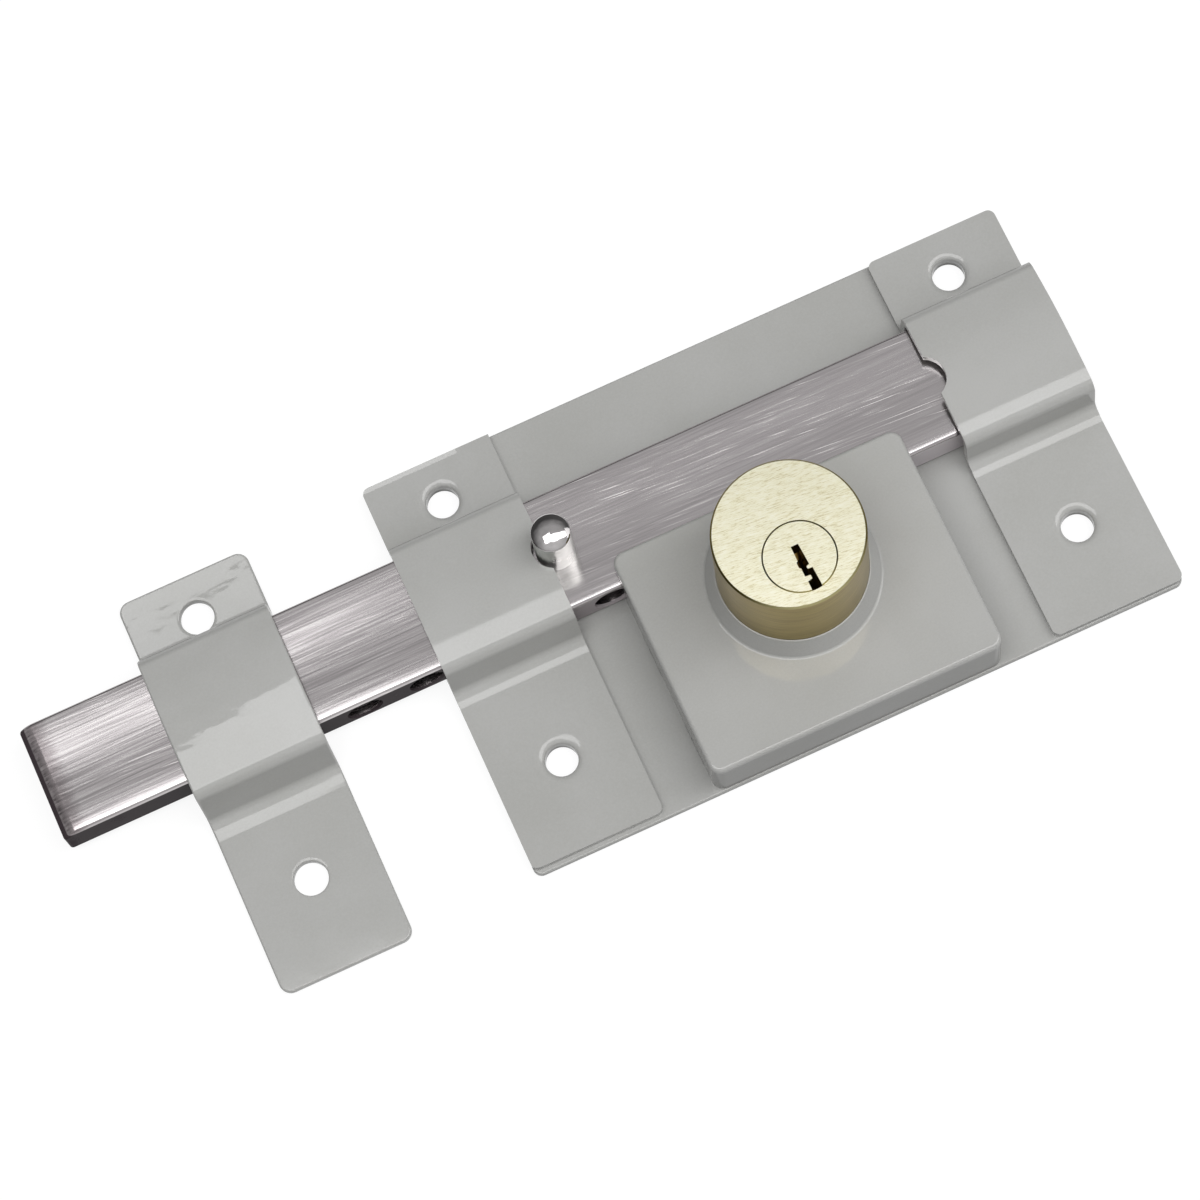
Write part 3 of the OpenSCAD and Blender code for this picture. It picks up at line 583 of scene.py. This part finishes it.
def crowned_path(far, near, base, far_gap, over_gap, crown, mid_y, mid_reach, shoulder_y, heel, heel_r,
                 run_out):
    """Middle line of a strip over the bar. The bridge is crowned and drops faster from mid_y on, and its
    near wall runs out into the foot in a long, flat curve."""
    foot = base + STRIP_T / 2
    shoulder = BAR["top"] + over_gap + STRIP_T / 2
    far_wall = BAR["far"] + far_gap + STRIP_T / 2
    top = ((far_wall + (BAR["near"] - NEAR_GAP)) / 2 + CROWN_SHIFT, shoulder + crown)
    mid = (mid_y, shoulder + (mid_y - shoulder_y) * math.tan(math.radians(BRIDGE_SLOPE)))
    flat = math.radians(RUN_OUT_SLOPE)
    run = (heel_r + STRIP_T / 2) * math.tan(flat / 2) + run_out
    knee = (heel + run * math.cos(flat), foot + run * math.sin(flat))
    path = [(far, foot), (far_wall + FAR_LEAN, foot), (far_wall, shoulder), top, mid,
            (shoulder_y, shoulder), knee, (heel, foot), (near, foot)]
    ways = [(Vector(b) - Vector(a)).normalized() for a, b in zip(path[2:], path[3:6])]
    top_r = CROWN_REACH / math.tan(ways[0].angle(ways[1]) / 2) - STRIP_T / 2
    mid_r = mid_reach / math.tan(ways[1].angle(ways[2]) / 2) - STRIP_T / 2
    return strip_line(path, [FOOT_R, SHOULDER_R, top_r, mid_r, SHOULDER_R, FOOT_R, heel_r])


def bent_strip(name, x, line, corner, square_corner=False):
    """A flat strip pulled along its line edge by edge, given its thickness and its round corners.
    The far right corner may be left square."""
    first, second = line[0], line[1]
    piece = start(name, bpy.ops.mesh.primitive_plane_add, size=1)
    activate(piece)
    bpy.ops.transform.resize(value=(STRIP_W * MM, abs(first.x - second.x) * MM, 1))
    bpy.ops.transform.translate(value=(x * MM, (first.x + second.x) / 2 * MM, first.y * MM))
    bpy.ops.object.transform_apply(location=True, rotation=True, scale=True)
    edit(piece, "EDGE", lambda e: all(abs(v.co.y - second.x * MM) < SAME for v in e.verts))
    for a, b in zip(line[1:], line[2:]):
        step = (0, (b.x - a.x) * MM, (b.y - a.y) * MM)
        bpy.ops.mesh.extrude_region_move(TRANSFORM_OT_translate={"value": step})
    bpy.ops.mesh.select_all(action="SELECT")
    bpy.ops.mesh.normals_make_consistent(inside=False)
    leave()
    modify(piece, "SOLIDIFY", thickness=STRIP_T * MM, offset=0, use_even_offset=True)
    ends = (line[0].x * MM, line[-1].x * MM)

    def is_round_corner(edge):
        at = edge.verts[0].co
        return (is_upright(edge) and min(abs(at.y - y) for y in ends) < SAME
                and not (square_corner and at.x > x * MM and at.y > 0))

    round_edges(piece, corner, 8, is_round_corner)
    return piece


def rim_cutter(x, y, z, hole_r, rim_r, depth):
    """Cutter for a screw hole whose rim is pressed in: it leaves the face gently and ends in the bore."""
    reach = rim_r - hole_r
    curve = [(hole_r + reach * (1 - math.cos(a)), z - depth + depth * math.sin(a))
             for a in [math.radians(k * 15) for k in range(1, 6)]]
    bore = [(hole_r, z - 6), (hole_r, z - depth)]
    over = [(rim_r + 0.4, z + 0.002), (rim_r + 0.4, z + 2)]
    return turned("rim_cutter", x, y, bore + curve + over, sides=64)


def strap(side, node, step):
    """The strap at one end of the plate, -1 on the left or 1 on the right. Its near foot ends a step
    before the plate's edge, and a notch in its bridge takes the knob."""
    x = side * (PLATE[0] - STRIP_W) / 2
    far = PLATE[1] / 2
    line = crowned_path(far, -far + step, PLATE[2], **BENDS[node])
    piece = bent_strip("strap_left" if side < 0 else "strap_right", x, line, corner=1.4,
                       square_corner=side < 0)
    cut(piece, rod("notch", NOTCH_R, 8, (-side * KNOB_X, BAR_MIDDLE, BAR["top"] + 3.9), 64))
    break_edges(piece, SHEET_EDGE)
    for y in hole_rows(far):
        cut(piece, rim_cutter(x, y, PLATE[2] + STRIP_T, STRAP_HOLE_R, rim_r=4.8, depth=0.8))
    return piece


def keeper_strip():
    (x0, near, _), (x1, far, _) = box_mm("keeper")
    x = (x0 + x1) / 2
    line = crowned_path(far, near, 0, **BENDS["keeper"])
    piece = bent_strip("keeper_strip", x, line, corner=2.2)
    break_edges(piece, 0.4)
    for y in hole_rows(far):
        cut(piece, rim_cutter(x, y, STRIP_T, KEEPER_HOLE_R, rim_r=3.5, depth=0.35))
    return piece


def tab_places():
    """x and y of the box's four tabs, which stand in slots of the plate."""
    (_, near, _), (right, _, _) = box_mm("lock_box")
    return [(side * (right - BOX_WALL / 2), near + place) for side in (-1, 1) for place in TABS]


def plate():
    length, width, thick = PLATE
    piece = block("plate_sheet", PLATE, (0, 0, thick / 2))
    round_edges(piece, PLATE_CORNER, 6, is_upright)
    break_edges(piece, SHEET_EDGE)
    for side in (-1, 1):
        for y in hole_rows(width / 2):
            cut(piece, rod("bore", STRAP_HOLE_R, 6, (side * (length - STRIP_W) / 2, y, 0), 64))
    for x, y in tab_places():
        cut(piece, block("slot", (BOX_WALL + 0.02, TAB_W + 0.02, 6), (x, y, 0)))
    # Countersunk seats for the heads of the guide's rivets
    head_r = 2.7
    (x0, y0, _), (x1, y1, _) = box_mm("guide_rivets")
    for x in (x0 + head_r, x1 - head_r):
        seat = [(head_r + 0.2, -0.2), (head_r + 0.02, 0.0), (1.52, 1.2), (1.52, 3)]
        cut(piece, turned("seat", x, (y0 + y1) / 2, seat, sides=48))
    return piece


def box_cover():
    (x0, y0, _), (x1, y1, top) = box_mm("lock_box")
    bottom = PLATE[2]
    piece = block("box_cover", (x1 - x0, y1 - y0, top - bottom),
                  ((x0 + x1) / 2, (y0 + y1) / 2, (top + bottom) / 2))
    round_edges(piece, BOX_CORNER, 8, is_upright)
    round_edges(piece, BOX_EDGE, 6, lambda e: all(abs(v.co.z - top * MM) < SAME for v in e.verts))
    edit(piece, "FACE", lambda f: f.normal.z < -0.9)
    bpy.ops.mesh.delete(type="FACE")
    leave()
    modify(piece, "SOLIDIFY", thickness=BOX_WALL * MM, offset=-1, use_even_offset=True)
    cut(piece, block("bar_room", (80, 24, 10.3), (0, 11.9, 5.15)))
    cut(piece, rod("bore", 12.65, 8, (0, CYLINDER_Y, top), 96))
    # The tabs reach 0.3 mm up into the walls
    high = bottom + 0.3
    tabs = [block("tab", (BOX_WALL, TAB_W, high), (x, y, high / 2)) for x, y in tab_places()]
    bpy.ops.object.select_all(action="DESELECT")
    for part in tabs + [piece]:
        part.select_set(True)
    bpy.context.view_layer.objects.active = piece
    bpy.ops.object.join()
    return piece


def collar():
    """The painted ring round the cylinder: a slanted wall with a small fillet at its foot."""
    (_, _, z0), (_, _, z1) = box_mm("guard_ring")
    inner, top, foot, edge, fillet = 13.64, 14.0, 16.1, 0.3, 0.6
    arc = [math.radians(a) for a in range(0, 91, 15)]
    outer = [(foot - fillet * math.sin(a), z0 + fillet * (1 - math.cos(a))) for a in arc]
    over = [(top - edge + edge * math.cos(a), z1 - edge + edge * math.sin(a)) for a in arc]
    inside = [(inner, z1), (inner, z0), (foot, z0)]
    return turned("collar", 0, CYLINDER_Y, outer + over + inside, closed=True, sides=128)


# Bar and knob

def flat_bar():
    """The bar: its leading end bevelled, its long edges broken, drilled for the plunger and for the knob."""
    low, high = box_mm("bar")
    left, top = low[0], high[2]
    size = [b - a for a, b in zip(low, high)]
    middle = [(a + b) / 2 for a, b in zip(low, high)]
    piece = block("flat_bar", size, middle)
    # The bevel takes 1.7 mm off the bar's length and 0.9 mm off its height
    edit(piece, "FACE", lambda f: True)
    bpy.ops.mesh.bisect(plane_co=((left + 1.7) * MM, 0, top * MM), plane_no=(-0.9, 0, 1.7),
                        clear_outer=True, use_fill=True)
    leave()
    round_edges(piece, 1.1, 8,
                lambda e: all(v.co.z > top * MM - SAME and v.co.x < (left + 2) * MM for v in e.verts))
    round_edges(piece, 0.6, 5, lambda e: abs(e.verts[0].co.y - e.verts[1].co.y) < SAME)
    break_edges(piece, 0.25, 24)
    (x0, y0, _), (x1, y1, _) = box_mm("knob_pin")
    cut(piece, rod("knob_seat", 3.02, 20, ((x0 + x1) / 2, (y0 + y1) / 2, top), 64))
    for k in range(BLIND_HOLES):
        x = PLUNGER_X + k * 2 * KNOB_X / (BLIND_HOLES - 1)
        cut(piece, rod("blind_hole", 3.4, 14, (x, low[1], middle[2]), 48, rotation=(math.pi / 2, 0, 0)))
    return piece


def knob():
    """The pin on the bar: a straight shank with a low dome, its neck riveted through the bar."""
    (x0, y0, _), (x1, y1, _) = box_mm("knob_pin")
    neck, shank, rim, dome, steps = 3.0, 3.6, 20.6, 6.0, 18
    profile = [(neck, BAR["bottom"]), (neck, BAR["top"]), (shank, BAR["top"]), (shank, rim - 0.25),
               (shank - 0.03, rim - 0.1)]
    steep = math.asin((shank - 0.12) / dome)
    for k in range(steps + 1):
        a = steep * (1 - k / steps) + 0.01 * k / steps
        profile.append((dome * math.sin(a), rim + dome * (math.cos(a) - math.cos(steep))))
    return turned("knob", (x0 + x1) / 2, (y0 + y1) / 2, profile, sides=128)


# The stage

def stage_floor():
    """A pale floor just under the object, which camera and reflections see as white."""
    piece = start("floor", bpy.ops.mesh.primitive_plane_add, size=4, location=(0, 0, -0.2 * MM))
    material = bpy.data.materials.new("pale paper")
    material.use_nodes = True
    tree = material.node_tree
    tree.nodes.clear()
    paper = add_node(tree, "ShaderNodeBsdfDiffuse", Color=colour("#707070"))
    shine = add_node(tree, "ShaderNodeEmission", Color=WHITE, Strength=0.87)
    rays = add_node(tree, "ShaderNodeLightPath").outputs
    seen = calc(tree, "MAXIMUM", calc(tree, "MAXIMUM", rays["Is Camera Ray"], rays["Is Glossy Ray"]),
                rays["Is Transmission Ray"])
    both = add_node(tree, "ShaderNodeAddShader", i0=paper.outputs[0], i1=shine.outputs[0])
    shown = add_node(tree, "ShaderNodeMixShader", Fac=seen, i1=paper.outputs[0], i2=both.outputs[0])
    add_node(tree, "ShaderNodeOutputMaterial", Surface=shown.outputs[0])
    piece.data.materials.append(material)


def light_stage():
    world = bpy.data.worlds.new("studio")
    bpy.context.scene.world = world
    world.use_nodes = True
    tree = world.node_tree
    tree.nodes.clear()
    # Room round the lamps: bright overhead, dark low down behind and on the left
    x, y, z = axes(tree, add_node(tree, "ShaderNodeTexCoord").outputs["Generated"])
    overhead = span(tree, z, 0.42, 0.8, 0.07, 0.5)
    front = span(tree, y, 0.0, -1.0, 0.0, 0.5)
    right = span(tree, x, 0.0, 1.0, 0.0, 0.05)
    sky = add_node(tree, "ShaderNodeBackground", Color=WHITE, Strength=total(tree, overhead, front, right))
    add_node(tree, "ShaderNodeOutputWorld", Surface=sky.outputs[0])
    softbox("long_softbox", -0.072, 1.0, -0.35, 0.045, 0.9, 3.6)
    softbox("left_softbox", -0.5, -0.072, -0.3, 0.19, 0.9, 3.6)
    side_lamp("right_softbox", (0.9, -0.1, 0.45), (0.6, 0.5), 1.25)
    bpy.context.scene.view_settings.view_transform = "Standard"


place_camera()
light_stage()
stage_floor()

enamel = grey_enamel()
steel = inner_metal("zinc-plated steel", "#A8A8A8", "#BDBDBD", 0.35)
pin_brass = inner_metal("turned pin brass", "#C9A45C", "#DDBB74", 0.3)
cap_brass = inner_metal("cylinder brass, caps turned flush", "#907C38", "#AC974C", 0.28)

finish_piece(plate(), grey_enamel("grey stove enamel, plate", dull_below=1.1),
             "lock", "base_plate")
finish_piece(strap(-1, "left_strap", 1.0), grey_enamel("grey stove enamel, left strap", lifted_edge=True),
             "lock", "left_strap")
finish_piece(strap(1, "right_strap", 0.4), enamel, "lock", "right_strap")
finish_piece(keeper_strip(), grey_enamel("grey stove enamel, keeper", hand_bent=True),
             "lock", "keeper")
finish_piece(box_cover(), grey_enamel("grey stove enamel, box", dull_below=12.2),
             "lock", "lock_box")
finish_piece(collar(), enamel, "lock", "guard_ring")
finish_piece(flat_bar(), ground_bar(), "slide_bar", "bar")
finish_piece(knob(), polished_pin(), "slide_bar", "knob_pin")

# The other nodes are carried over as they are, of steel where nothing else is said
finishes = {
    "cylinder_body": lock_brass("brushed cylinder brass", "#665C34"),
    "plug": lock_brass("brushed plug brass", "#3A3F34"),
    "key_pins": pin_brass,
    "driver_pins": pin_brass,
    "chamber_caps": cap_brass,
}
replaced = {"base_plate", "left_strap", "right_strap", "keeper", "lock_box", "guard_ring", "bar", "knob_pin"}
for name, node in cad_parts.items():
    if name not in replaced:
        node.data.materials.clear()
        node.data.materials.append(finishes.get(name, steel))
